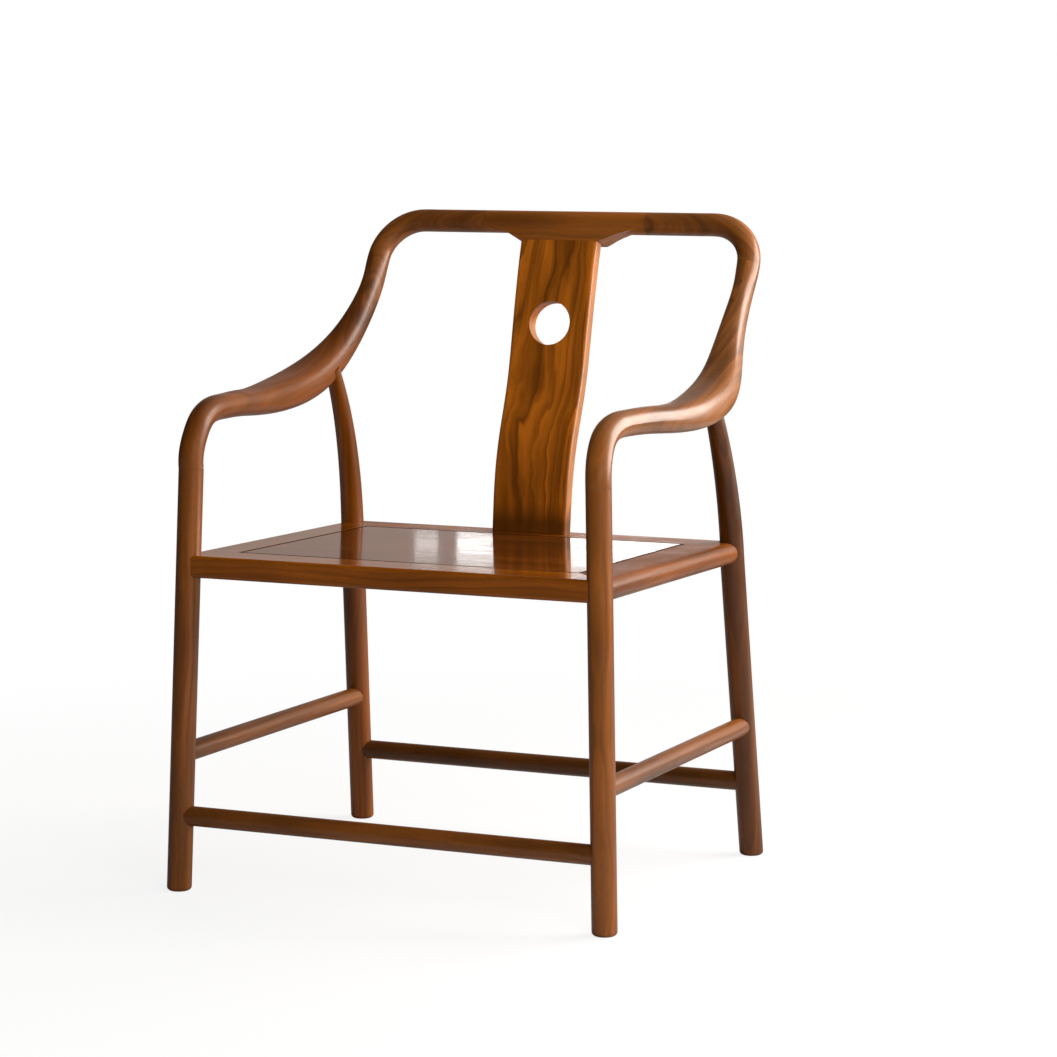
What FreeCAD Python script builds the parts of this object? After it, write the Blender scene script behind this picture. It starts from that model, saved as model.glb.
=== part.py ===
import FreeCAD, Part
import math
import os

import Sketcher

# A low-backed wooden armchair: round splayed legs rise through the corners of a mitred seat
# frame, the front pair into arms that sweep back and up into a crest rail with turned corners.
# Millimetres; +X is the sitter's left seen from the front (the viewer's right), the chair
# faces -Y, +Z is up, and the origin lies on the floor under the middle of its bounding box.

Vector = FreeCAD.Vector

# Driving sizes, one cell each in the sheet named Size
SIZES = {
    # overall
    "overall_depth": 549,
    "overall_height": 801,
    "seat_height": 407,
    "seat_fall": 6.5,
    # legs, measured between their centres; the rear bend is measured up from the seat
    "leg_diameter": 30,
    "foot_round": 5,
    "foot_span_front": 560,
    "foot_span_rear": 552,
    "foot_depth": 468,
    "seat_span_front": 536,
    "seat_span_rear": 528,
    "front_rake": 14,
    "rear_rake": 45,
    "elbow_height": 510,
    "rear_bend_height": 35,
    "rear_post_top_diameter": 19,
    "rear_post_inset": 17.5,
    # seat frame
    "rail_thickness": 26.5,
    "rail_width": 55,
    "rail_outset": 12,
    "rail_round": 4,
    "side_rail_round": 12,
    "corner_tenon_width": 19,
    "corner_tenon_thickness": 8,
    "corner_tenon_length": 36,
    "corner_tenon_inset": 6,
    "corner_tenon_rise": 3,
    # seat panel and its battens
    "panel_gap": 3.5,
    "panel_thickness": 11,
    "panel_edge_round": 1,
    "tongue_drop": 5,
    "tongue_thickness": 5,
    "tongue_depth": 7,
    "groove_depth": 8,
    "batten_width": 30,
    "batten_thickness": 14,
    "batten_spacing": 150,
    "batten_tenon_thickness": 7,
    "batten_tenon_length": 10,
    # stretchers
    "stretcher_diameter": 24,
    "front_stretcher_height": 91.5,
    "back_stretcher_height": 94.5,
    "side_stretcher_height": 166.8,
    "stretcher_tenon_diameter": 12,
    "stretcher_tenon_length": 20,
    # arms and crest rail; the scarf is measured down from the middle of the crest
    "arm_bow": 18.5,
    "arm_breadth": 54,
    "arm_thickness": 40,
    "post_tenon_diameter": 14,
    "front_tenon_length": 28,
    "rear_tenon_length": 30,
    "crest_diameter": 29,
    "crest_corner_round": 56,
    "crest_centre_length": 225,
    "crest_dowel_diameter": 10,
    "crest_dowel_length": 50,
    "scarf_height": 75.5,
    "scarf_length": 62,
    "scarf_wedge_side": 6,
    # back splat, and the neck of the crest that it stands under; the hole is measured down
    # from the middle of the crest
    "splat_foot_width": 102,
    "splat_head_width": 106,
    "splat_thickness": 19,
    "splat_edge_round": 4,
    "splat_foot_advance": 26,
    "splat_hole_diameter": 56,
    "splat_hole_height": 124.5,
    "splat_tenon_width": 78,
    "splat_tenon_thickness": 8,
    "splat_tenon_length": 12,
    "neck_front_advance": 28.5,
    "neck_front_drop": 21,
    "neck_depth": 29,
    "neck_flare": 58,
    # clearance round tenons, dowels and coped shoulders, and overrun of cuts
    "fit_gap": 0.15,
    "overrun": 12,
}

# Places worked out from the sizes, one formula each in the sheet named Place
PLACES = {
    "front_foot_y": "Size.leg_diameter / 2 - Size.overall_depth / 2",
    "rear_foot_y": "front_foot_y + Size.foot_depth",
    "front_leg_half": "Size.seat_span_front / 2",
    "front_leg_y": "front_foot_y + Size.front_rake",
    "rear_leg_half": "Size.seat_span_rear / 2",
    "rear_leg_y": "rear_foot_y - Size.rear_rake",
    "rail_front_y": "front_leg_y - Size.rail_outset",
    "rail_back_y": "rear_leg_y + Size.rail_outset",
    "side_front_half": "front_leg_half + Size.rail_outset",
    "side_rear_half": "rear_leg_half + Size.rail_outset",
    "inner_front_half": "side_front_half - Size.rail_width",
    "inner_rear_half": "side_rear_half - Size.rail_width",
    "inner_front_y": "rail_front_y + Size.rail_width",
    "inner_rear_y": "rail_back_y - Size.rail_width",
    "groove_front_half": "inner_front_half + Size.groove_depth",
    "groove_rear_half": "inner_rear_half + Size.groove_depth",
    "groove_front_y": "inner_front_y - Size.groove_depth",
    "groove_rear_y": "inner_rear_y + Size.groove_depth",
    "tongue_front_half": "inner_front_half + Size.tongue_depth",
    "tongue_rear_half": "inner_rear_half + Size.tongue_depth",
    "tongue_front_y": "inner_front_y - Size.tongue_depth",
    "tongue_rear_y": "inner_rear_y + Size.tongue_depth",
    "field_front_half": "inner_front_half - Size.panel_gap",
    "field_rear_half": "inner_rear_half - Size.panel_gap",
    "field_front_y": "inner_front_y + Size.panel_gap",
    "field_rear_y": "inner_rear_y - Size.panel_gap",
    "rail_bottom": "Size.seat_height - Size.rail_thickness",
    "panel_bottom": "Size.seat_height - Size.panel_thickness",
    "batten_bottom": "panel_bottom - Size.batten_thickness",
    "tongue_bottom": "Size.seat_height - Size.tongue_drop - Size.tongue_thickness",
    "groove_bottom": "tongue_bottom - Size.fit_gap",
    "groove_height": "Size.tongue_thickness + 2 * Size.fit_gap",
    "seat_slope": "Size.seat_fall / (rail_back_y - rail_front_y)",
    "crest_y": "Size.overall_depth / 2 - Size.crest_diameter / 2",
    "crest_z": "Size.overall_height - Size.crest_diameter / 2",
}

# Arm line from the elbow joint to the start of the crest's corner. Shares: outward of the arm's
# bow, backward and upward of the way to that start, and how far the section's breadth and
# thickness have changed from round to the arm's greatest.
ARM_LINE_SHARES = (
    (0.00, 0.000, 0.000, 0.00, 0.00),
    (-0.02, 0.002, 0.090, 0.00, 0.00),
    (-0.08, 0.017, 0.171, 0.00, 0.00),
    (-0.10, 0.044, 0.243, 0.01, 0.00),
    (-0.05, 0.090, 0.286, 0.06, 0.02),
    (0.07, 0.158, 0.296, 0.15, 0.09),
    (0.40, 0.255, 0.294, 0.33, 0.20),
    (0.74, 0.349, 0.285, 0.54, 0.38),
    (0.94, 0.451, 0.287, 0.81, 0.74),
    (0.90, 0.550, 0.309, 1.00, 1.00),
    (0.72, 0.653, 0.358, 1.00, 1.00),
    (0.37, 0.746, 0.444, 0.70, 0.78),
    (-0.05, 0.829, 0.572, 0.30, 0.48),
    (-0.32, 0.905, 0.724, -0.02, 0.32),
    (-0.38, 0.972, 0.893, -0.13, 0.20),
)

# How far the plane of the crest's corner leans back, in degrees from upright
CORNER_LEAN = 28.63

# How square the thick part of the arm is: 2 is an ellipse, more is nearer a rectangle
ARM_SQUARENESS = 3.4
SECTION_POINTS = 32
CORNER_STEPS = 8
STRAIGHT_STEPS = 6

# Where the rear post meets the arm, as a share of the arm line's way back
POST_TOP_SHARE = 0.68

# Rear post above its straight part: share of its height, and of its reach outward and forward
POST_BEND_SHARES = (
    (0.55, 0.66, 0.35),
    (1.00, 1.00, 1.00),
)
POST_TAPER_SECTIONS = 8
POST_TAPER_POWER = 1.6

# Front face of the splat from the seat to the crest: share of its depth, share of its height
SPLAT_LINE_SHARES = (
    (0.000, 0.00),
    (0.038, 0.10),
    (0.095, 0.20),
    (0.235, 0.33),
    (0.490, 0.50),
    (0.680, 0.69),
    (0.840, 0.86),
    (1.000, 1.00),
)

# How far down the crest's neck reaches at each share of its flare's length beyond the splat
NECK_FLARE_SHARES = (
    (-0.40, 1.60),
    (0.05, 1.00),
    (0.15, 0.86),
    (0.30, 0.64),
    (0.52, 0.40),
    (0.76, 0.17),
    (1.00, 0.00),
)

# Where the neck springs from the crest, in degrees from level in front to below, and its roots'
# distance from the crest's axis
BROW_TURN = 14
NAPE_TURN = 152
ROOT_SHARE = 0.94

doc = FreeCAD.newDocument("armchair")


def make_sheet(name, cells):
    """A spreadsheet with one aliased cell for each entry."""
    sheet = doc.addObject("Spreadsheet::Sheet", name)
    for row, (alias, content) in enumerate(cells.items(), start=1):
        sheet.set(f"A{row}", str(content))
        sheet.setAlias(f"A{row}", alias)
    doc.recompute()
    return sheet


Size = make_sheet("Size", SIZES)
Place = make_sheet("Place", {alias: "=" + formula for alias, formula in PLACES.items()})

X_AXIS = Vector(1, 0, 0)
Z_AXIS = Vector(0, 0, 1)


def unit(vector):
    """The same direction with a length of one."""
    return vector / vector.Length


# The seat is laid out level, then turned about its front edge so that it falls to the back
seat_front = Vector(0, Place.rail_front_y, Size.seat_height)
seat_turn = FreeCAD.Rotation(X_AXIS, -math.degrees(math.atan(Place.seat_slope)))
seat_tilt = FreeCAD.Placement(Vector(), seat_turn, seat_front)
seat_normal = seat_turn.multVec(Z_AXIS)


def in_seat(corner):
    """Placement of a box of the seat from its corner in the level layout."""
    return seat_tilt.multiply(FreeCAD.Placement(corner, FreeCAD.Rotation()))


def on_seat(y):
    """The point of the seat's top in the plane of symmetry at a place along Y."""
    return Vector(0, y, Size.seat_height - (y - Place.rail_front_y) * Place.seat_slope)


def cut(name, base, tools):
    """Base less all the tools."""
    result = doc.addObject("Part::Cut", name)
    result.Base = base
    result.Tool = tools[0] if len(tools) == 1 else fuse(name + "_tools", tools)
    return result


def fuse(name, shapes):
    """All the shapes as one solid, or as one group of tools."""
    result = doc.addObject("Part::MultiFuse", name)
    result.Shapes = shapes
    return result


def common(name, shapes):
    """What all the shapes share."""
    result = doc.addObject("Part::MultiCommon", name)
    result.Shapes = shapes
    return result


def mirrored(source, name):
    """The left-hand twin of a right-hand piece."""
    twin = doc.addObject("Part::Mirroring", name)
    twin.Source = source
    twin.Normal = X_AXIS
    return twin


def rod(name, start, end, diameter, grown=False):
    """A round bar between two points; grown adds the fit gap to its radius."""
    bar = doc.addObject("Part::Cylinder", name)
    gap = " + Size.fit_gap" if grown else ""
    bar.setExpression("Radius", f"Size.{diameter} / 2{gap}")
    bar.Height = (end - start).Length
    bar.Placement = FreeCAD.Placement(start, FreeCAD.Rotation(Z_AXIS, end - start))
    return bar


def block(name, centre, rotation, sides, grown=False):
    """A box centred on a point, its sides three sizes of the sheet; grown adds the fit gap."""
    box = doc.addObject("Part::Box", name)
    gap = Size.fit_gap if grown else 0
    for prop, side in zip(("Length", "Width", "Height"), sides):
        box.setExpression(prop, f"Size.{side}" + (" + 2 * Size.fit_gap" if grown else ""))
    half = Vector(*(getattr(Size, side) / 2 + gap for side in sides))
    box.Placement = FreeCAD.Placement(centre - rotation.multVec(half), rotation)
    return box


def prism(name, corners, bottom, height):
    """A seat body padded up from a plan; each corner is a side, -1 or 1, and two places."""
    body = doc.addObject("PartDesign::Body", name)
    sketch = body.newObject("Sketcher::SketchObject", name + "_plan")
    floor = next(plane for plane in body.Origin.OriginFeatures if plane.Role == "XY_Plane")
    sketch.AttachmentSupport = (floor, [""])
    sketch.MapMode = "FlatFace"
    sketch.setExpression("AttachmentOffset.Base.z", bottom)
    points = [Vector(side * getattr(Place, x), getattr(Place, y), 0) for side, x, y in corners]
    count = len(points)
    for index, point in enumerate(points):
        sketch.addGeometry(Part.LineSegment(point, points[(index + 1) % count]))
    for index in range(count):
        sketch.addConstraint(Sketcher.Constraint("Coincident", index, 2, (index + 1) % count, 1))
    for index, (side, x, y) in enumerate(corners):
        across = Sketcher.Constraint("DistanceX", -1, 1, index, 1, points[index].x)
        sketch.setExpression(f"Constraints[{sketch.addConstraint(across)}]", f"{side} * Place.{x}")
        along = Sketcher.Constraint("DistanceY", -1, 1, index, 1, points[index].y)
        sketch.setExpression(f"Constraints[{sketch.addConstraint(along)}]", f"Place.{y}")
    pad = body.newObject("PartDesign::Pad", name + "_pad")
    pad.Profile = sketch
    pad.setExpression("Length", height)
    body.Placement = seat_tilt
    doc.recompute()
    return body


def round_edges(body, radius, chosen):
    """Round the edges of a body's pad for which chosen(edge) is true."""
    pad = body.Tip
    names = [f"Edge{n}" for n, edge in enumerate(pad.Shape.Edges, start=1) if chosen(edge)]
    fillet = body.newObject("PartDesign::Fillet", body.Name + "_round")
    fillet.Base = (pad, names)
    fillet.setExpression("Radius", radius)
    doc.recompute()


def symmetric(front, rear):
    """Plan corners of a trapezium that is the same left and right."""
    return [(-1, *front), (1, *front), (1, *rear), (-1, *rear)]


# Leg centre lines on the right-hand side; the leg sizes at the seat are those at its front height
front_foot = Vector(Size.foot_span_front / 2, Place.front_foot_y, 0)
front_seat = Vector(Place.front_leg_half, Place.front_leg_y, Size.seat_height)
rear_foot = Vector(Size.foot_span_rear / 2, Place.rear_foot_y, 0)
rear_seat = Vector(Place.rear_leg_half, Place.rear_leg_y, Size.seat_height)
front_direction = unit(front_seat - front_foot)
rear_direction = unit(rear_seat - rear_foot)


def on_leg(foot, direction, height):
    """The point of a leg's centre line at a height."""
    return foot + direction * (height / direction.z)


elbow = on_leg(front_foot, front_direction, Size.elbow_height)
post_base = on_leg(rear_foot, rear_direction, Place.rail_bottom)
rear_bend = on_leg(rear_foot, rear_direction, Size.seat_height + Size.rear_bend_height)
crest_end = Vector(Size.crest_centre_length / 2, Place.crest_y, Place.crest_z)
corner_rise = Vector(0, math.sin(math.radians(CORNER_LEAN)), math.cos(math.radians(CORNER_LEAN)))
corner_start = crest_end - corner_rise * Size.crest_corner_round


def mirror_point(point):
    """The same point on the other side of the chair."""
    return Vector(-point.x, point.y, point.z)


def arm_point(outward, backward, upward):
    """A point of the arm line from its three shares."""
    return Vector(
        elbow.x + outward * Size.arm_bow,
        elbow.y + backward * (corner_start.y - elbow.y),
        elbow.z + upward * (corner_start.z - elbow.z),
    )


def rail_stations():
    """Points from elbow to crest joint, each with its shares of breadth and thickness."""
    stations = [(arm_point(*shares[:3]), *shares[3:]) for shares in ARM_LINE_SHARES]
    vertex = Vector(stations[-1][0].x, Place.crest_y, Place.crest_z)
    centre = vertex - (corner_rise + X_AXIS) * Size.crest_corner_round
    for step in range(CORNER_STEPS + 1):
        turn = math.pi / 2 * step / CORNER_STEPS
        ray = X_AXIS * math.cos(turn) + corner_rise * math.sin(turn)
        stations.append((centre + ray * Size.crest_corner_round, 0, 0))
    corner_end = stations[-1][0]
    for step in range(1, STRAIGHT_STEPS + 1):
        stations.append((corner_end + (crest_end - corner_end) * (step / STRAIGHT_STEPS), 0, 0))
    return stations


def spline(points, **tangents):
    """A smooth curve through points, its parameter being the distance from point to point."""
    distances = [0]
    for previous, point in zip(points, points[1:]):
        distances.append(distances[-1] + (point - previous).Length)
    curve = Part.BSplineCurve()
    curve.interpolate(Points=points, Parameters=distances, **tangents)
    return curve


def skin(centres, rings):
    """A solid through closed rings of matching points, capped at the first and the last."""
    distances = spline(centres).getKnots()
    curves = []
    for ring in rings:
        curve = Part.BSplineCurve()
        curve.interpolate(Points=ring, PeriodicFlag=True, Parameters=list(range(len(ring) + 1)))
        curves.append(curve)
    columns = []
    for poles in zip(*(curve.getPoles() for curve in curves)):
        column = Part.BSplineCurve()
        column.interpolate(Points=list(poles), Parameters=distances)
        columns.append(column)
    around = curves[0]
    along = columns[0]
    surface = Part.BSplineSurface()
    surface.buildFromPolesMultsKnots(
        list(zip(*(column.getPoles() for column in columns))),
        along.getMultiplicities(),
        around.getMultiplicities(),
        along.getKnots(),
        around.getKnots(),
        False,
        True,
        along.Degree,
        around.Degree,
    )
    side = surface.toShape()
    caps = [Part.Face(Part.Wire(curve.toShape())) for curve in (curves[0], curves[-1])]
    shell = Part.Shell([side, *caps])
    shell.sewShape()
    solid = Part.Solid(shell)
    if solid.Volume < 0:
        solid.reverse()
    return solid


STATIONS = rail_stations()
rail_line = spline([station[0] for station in STATIONS])


def rail_ring(centre, across, up, breadth, thickness, squareness):
    """Points of a rounded outline, from an ellipse to nearly a rectangle."""
    points = []
    turns = [2 * math.pi * step / SECTION_POINTS for step in range(SECTION_POINTS)]
    power = 2 / squareness
    for turn in turns:
        side = math.copysign(abs(math.cos(turn)) ** power, math.cos(turn)) * breadth / 2
        top = math.copysign(abs(math.sin(turn)) ** power, math.sin(turn)) * thickness / 2
        points.append(centre + across * side + up * top)
    return points


def rail_form(name, gap):
    """The whole right-hand run of arm and crest corner, grown all round by a gap."""
    rings = []
    across = X_AXIS
    way_back = Place.crest_y - elbow.y
    for point, broad, deep in STATIONS:
        tangent = unit(rail_line.tangent(rail_line.parameter(point))[0])
        across = unit(across - tangent * across.dot(tangent))
        back_share = (point.y - elbow.y) / way_back
        diameter = Size.leg_diameter + (Size.crest_diameter - Size.leg_diameter) * back_share
        breadth = diameter + (Size.arm_breadth - diameter) * broad + 2 * gap
        thickness = diameter + (Size.arm_thickness - diameter) * deep + 2 * gap
        squareness = 2 + (ARM_SQUARENESS - 2) * deep
        up = tangent.cross(across)
        rings.append(rail_ring(point, across, up, breadth, thickness, squareness))
    form = doc.addObject("Part::Feature", name)
    form.Shape = skin([station[0] for station in STATIONS], rings)
    return form


rail = rail_form("rail_form", 0)
rail_clearance = rail_form("rail_clearance", Size.fit_gap)

# Stretcher centre lines, each from leg axis to leg axis
front_stretcher_end = on_leg(front_foot, front_direction, Size.front_stretcher_height)
back_stretcher_end = on_leg(rear_foot, rear_direction, Size.back_stretcher_height)
side_stretcher_front = on_leg(front_foot, front_direction, Size.side_stretcher_height)
side_stretcher_rear = on_leg(rear_foot, rear_direction, Size.side_stretcher_height)
front_line = (mirror_point(front_stretcher_end), front_stretcher_end)
back_line = (mirror_point(back_stretcher_end), back_stretcher_end)
side_line = (side_stretcher_front, side_stretcher_rear)

# Leg shafts grown by the fit gap, for coping stretchers and notching the seat frame
front_shaft = rod("front_shaft", front_foot, elbow, "leg_diameter", grown=True)
rear_shaft = rod("rear_shaft", rear_foot, rear_bend, "leg_diameter", grown=True)
front_shaft_left = mirrored(front_shaft, "front_shaft_left")
rear_shaft_left = mirrored(rear_shaft, "rear_shaft_left")


def stretcher_tenon(name, line, grown):
    """One long round bar whose two ends are the stretcher's tenons."""
    start, end = line
    inset = Size.leg_diameter / 2 - Size.stretcher_tenon_length
    if grown:
        inset -= Size.fit_gap
    direction = unit(end - start)
    first = start + direction * inset
    return rod(name, first, end - direction * inset, "stretcher_tenon_diameter", grown)


def stretcher(name, line, shafts):
    """A round bar coped over its two legs, with a round tenon at each end."""
    bar = rod(name + "_bar", *line, "stretcher_diameter")
    coped = cut(name + "_coped", bar, shafts)
    return fuse(name, [coped, stretcher_tenon(name + "_tenon", line, grown=False)])


front_mortise = stretcher_tenon("front_stretcher_mortise", front_line, grown=True)
back_mortise = stretcher_tenon("back_stretcher_mortise", back_line, grown=True)
side_mortise = stretcher_tenon("side_stretcher_mortise", side_line, grown=True)


def leg_shaft(name, foot, direction, top):
    """A round shaft cut level at the floor, with its foot's edge rounded over."""
    below = foot - direction * Size.overrun
    stock = rod(name + "_stock", below, top, "leg_diameter")
    floor = doc.addObject("Part::Box", name + "_floor")
    for prop in ("Length", "Width", "Height"):
        floor.setExpression(prop, "2 * Size.leg_diameter")
    side = 2 * Size.leg_diameter
    floor.Placement.Base = Vector(foot.x - side / 2, foot.y - side / 2, -side)
    level = cut(name + "_level", stock, [floor])
    doc.recompute()
    rounded = doc.addObject("Part::Fillet", name + "_shaft")
    rounded.Base = level
    lowest = min(
        range(len(level.Shape.Edges)),
        key=lambda index: level.Shape.Edges[index].BoundBox.ZMax,
    )
    rounded.Edges = [(lowest + 1, Size.foot_round, Size.foot_round)]
    return rounded


front_tenon_top = elbow + front_direction * Size.front_tenon_length


def front_leg(name):
    """Straight leg from floor to elbow, with a round tenon for the arm."""
    shaft = leg_shaft(name, front_foot, front_direction, elbow)
    start = elbow - front_direction * Size.overrun
    tenon = rod(name + "_tenon", start, front_tenon_top, "post_tenon_diameter")
    whole = fuse(name + "_whole", [shaft, tenon])
    return cut(name, whole, [front_mortise, side_mortise])


def rear_post_line():
    """Centre line of the rear post from inside the shaft up into the arm."""
    top = rail_line.value(parameter_where(lambda p: p.y - post_top_y()))
    top = top - X_AXIS * Size.rear_post_inset
    line_end = on_leg(rear_foot, rear_direction, top.z)
    reach = top - line_end
    points = [post_base - rear_direction * Size.overrun, rear_bend]
    for rise_share, outward_share, forward_share in POST_BEND_SHARES:
        height = rear_bend.z + rise_share * (top.z - rear_bend.z)
        reached = Vector(reach.x * outward_share, reach.y * forward_share, 0)
        points.append(on_leg(rear_foot, rear_direction, height) + reached)
    return spline(points)


def post_top_y():
    """How far back the rear post's top stands."""
    return elbow.y + POST_TOP_SHARE * (Place.crest_y - elbow.y)


def parameter_where(measure):
    """Bisect the arm line for the first place where a rising measure is zero."""
    low = rail_line.FirstParameter
    high = rail_line.parameter(STATIONS[len(ARM_LINE_SHARES)][0])
    while high - low > (rail_line.LastParameter - rail_line.FirstParameter) / 2**30:
        middle = (low + high) / 2
        if measure(rail_line.value(middle)) < 0:
            low = middle
        else:
            high = middle
    return low


post_line = rear_post_line()
post_top = post_line.value(post_line.LastParameter)
post_top_direction = unit(post_line.tangent(post_line.LastParameter)[0])


def rear_leg(name):
    """Leg whose post tapers above the seat, bends forward and is coped under the arm."""
    shaft = leg_shaft(name, rear_foot, rear_direction, post_base)
    widest = Size.leg_diameter - 2 * Size.fit_gap
    centres = []
    rings = []
    for step in range(POST_TAPER_SECTIONS + 1):
        share = step / POST_TAPER_SECTIONS
        at = share * post_line.LastParameter
        diameter = widest - (widest - Size.rear_post_top_diameter) * share**POST_TAPER_POWER
        along = unit(post_line.tangent(at)[0])
        across = unit(X_AXIS - along * along.dot(X_AXIS))
        centres.append(post_line.value(at))
        rings.append(rail_ring(centres[-1], across, along.cross(across), diameter, diameter, 2))
    post = doc.addObject("Part::Feature", name + "_post")
    post.Shape = skin(centres, rings)
    coped = cut(name + "_coped", post, [rail_clearance])
    start = post_top - post_top_direction * Size.rear_tenon_length
    tenon = rod(name + "_tenon", start, post_top, "post_tenon_diameter")
    whole = fuse(name + "_whole", [shaft, coped, tenon])
    return cut(name, whole, [back_mortise, side_mortise])


# Scarf joint between arm and crest corner: a long lap, the arm's half outside
def height_above(height):
    """A measure that is zero on the arm line at a height."""
    return lambda point: point.z - height


scarf_middle = rail_line.value(parameter_where(height_above(Place.crest_z - Size.scarf_height)))
scarf_rise = unit(rail_line.tangent(rail_line.parameter(scarf_middle))[0])
scarf_across = unit(X_AXIS - scarf_rise * X_AXIS.dot(scarf_rise))
scarf_through = scarf_rise.cross(scarf_across)
scarf_turn = FreeCAD.Rotation(scarf_across, scarf_through, scarf_rise, "ZXY")


def scarf_space(name, inner, outer, start):
    """A box over the crest's side of the scarf, between two places across the rail."""
    box = doc.addObject("Part::Box", name)
    box.Length = outer - inner
    box.setExpression("Width", "Size.overall_depth")
    box.setExpression("Height", "Size.overall_height")
    corner = scarf_across * inner + scarf_rise * start - scarf_through * (Size.overall_depth / 2)
    box.Placement = FreeCAD.Placement(scarf_middle + corner, scarf_turn)
    return box


def crest_side():
    """All of the rail that belongs to the crest corner."""
    inward = -Size.seat_span_front
    lap = scarf_space("scarf_lap", inward, 0, -Size.scarf_length / 2)
    above = scarf_space("scarf_above", inward, Size.overrun + Size.arm_breadth, Size.scarf_length / 2)
    return fuse("scarf_crest_side", [lap, above])


crest_space = crest_side()
wedge_sides = ("scarf_wedge_side", "arm_thickness", "scarf_wedge_side")
wedge_bar = block("scarf_wedge_bar", scarf_middle, scarf_turn, wedge_sides)
wedge_hole = block("scarf_wedge_hole", scarf_middle, scarf_turn, wedge_sides, grown=True)
dowel_half = X_AXIS * (Size.crest_dowel_length / 2)


def crest_dowel(name, grown=False):
    """Dowel across the joint between crest centre and crest corner."""
    gap = X_AXIS * (Size.fit_gap if grown else 0)
    start = crest_end - dowel_half - gap
    return rod(name, start, crest_end + dowel_half + gap, "crest_dowel_diameter", grown)


dowel_hole = crest_dowel("crest_dowel_hole", grown=True)


def arm(name):
    """Elbow, broad rest and S-bend, up to the scarf."""
    blank = cut(name + "_blank", rail, [crest_space])
    socket_end = front_tenon_top + front_direction * Size.fit_gap
    socket_start = elbow - front_direction * Size.overrun
    front_socket = rod(name + "_front_socket", socket_start, socket_end, "post_tenon_diameter", True)
    rear_start = post_top - post_top_direction * Size.rear_tenon_length
    rear_end = post_top + post_top_direction * Size.fit_gap
    rear_socket = rod(name + "_rear_socket", rear_start, rear_end, "post_tenon_diameter", True)
    return cut(name, blank, [front_socket, rear_socket, wedge_hole])


def crest_corner(name):
    """The crest's turned corner with its half of the scarf."""
    blank = common(name + "_blank", [rail, crest_space])
    return cut(name, blank, [wedge_hole, dowel_hole])


# Splat: the line of its front face in the plane of symmetry
splat_foot = on_seat(Place.rear_leg_y - Size.splat_foot_advance)
splat_head = Vector(0, Place.crest_y - Size.neck_front_advance, Place.crest_z - Size.neck_front_drop)
splat_points = [
    splat_foot + Vector(0, (splat_head.y - splat_foot.y) * back, (splat_head.z - splat_foot.z) * up)
    for back, up in SPLAT_LINE_SHARES
]
splat_line = spline(splat_points)
splat_head_direction = unit(splat_line.tangent(splat_line.LastParameter)[0])
splat_foot_direction = unit(splat_line.tangent(splat_line.FirstParameter)[0])


def backward(direction):
    """Square to a direction in the plane of symmetry, towards the chair's back."""
    return Vector(0, direction.z, -direction.y)


def splat_tenon(name, centre, direction, grown=False):
    """A flat tenon through the joint at one end of the splat, centred on the joint."""
    turn = FreeCAD.Rotation(X_AXIS, backward(direction), direction, "ZXY")
    sides = ("splat_tenon_width", "splat_tenon_thickness", "splat_tenon_length")
    doubled = block(name, centre, turn, sides, grown)
    extra = " + 2 * Size.fit_gap" if grown else ""
    doubled.setExpression("Height", "2 * Size.splat_tenon_length" + extra)
    doubled.Placement.Base = doubled.Placement.Base - direction * (Size.splat_tenon_length / 2)
    return doubled


splat_head_centre = splat_head + backward(splat_head_direction) * (Size.splat_thickness / 2)
splat_foot_centre = on_seat(splat_foot.y + Size.splat_thickness / 2)


def splat_board(name):
    """The S-curved board, wider at its head, with its long edges rounded."""
    start = splat_foot - splat_foot_direction * Size.overrun
    front_points = [start] + splat_points
    directions = [splat_foot_direction]
    for point in splat_points:
        directions.append(unit(splat_line.tangent(splat_line.parameter(point))[0]))
    back_points = [
        point + backward(direction) * Size.splat_thickness
        for point, direction in zip(front_points, directions)
    ]
    edges = [
        spline(front_points).toShape(),
        Part.makeLine(front_points[-1], back_points[-1]),
        spline(back_points).toShape(),
        Part.makeLine(back_points[0], front_points[0]),
    ]
    profile = Part.Face(Part.Wire(edges))
    profile.translate(-X_AXIS * Size.splat_head_width)
    slab = profile.extrude(X_AXIS * (2 * Size.splat_head_width)).common(splat_sides())
    long_edges = [edge for edge in slab.Edges if edge.BoundBox.ZLength > Size.splat_head_width]
    board = doc.addObject("Part::Feature", name)
    board.Shape = slab.makeFillet(Size.splat_edge_round, long_edges)
    return board


def splat_sides():
    """The space between the splat's two sides, which spread from its foot to its head."""
    rise = splat_head.z - splat_foot.z
    spread = (Size.splat_head_width - Size.splat_foot_width) / 2
    corners = []
    for side, share in ((-1, -1), (1, -1), (1, 2), (-1, 2)):
        half = Size.splat_foot_width / 2 + spread * share
        corners.append(Vector(side * half, -Size.overall_depth, splat_foot.z + rise * share))
    outline = Part.Face(Part.makePolygon([*corners, corners[0]]))
    return outline.extrude(Vector(0, 2 * Size.overall_depth, 0))


def splat_hole(name):
    """A round bar through the splat, square to its face."""
    low = splat_line.FirstParameter
    high = splat_line.LastParameter
    while high - low > (splat_line.LastParameter - splat_line.FirstParameter) / 2**30:
        middle = (low + high) / 2
        if splat_line.value(middle).z < Place.crest_z - Size.splat_hole_height:
            low = middle
        else:
            high = middle
    centre = splat_line.value(low)
    through = backward(unit(splat_line.tangent(low)[0]))
    start = centre - through * Size.overrun
    end = centre + through * (Size.splat_thickness + Size.overrun)
    return rod(name, start, end, "splat_hole_diameter")


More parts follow.
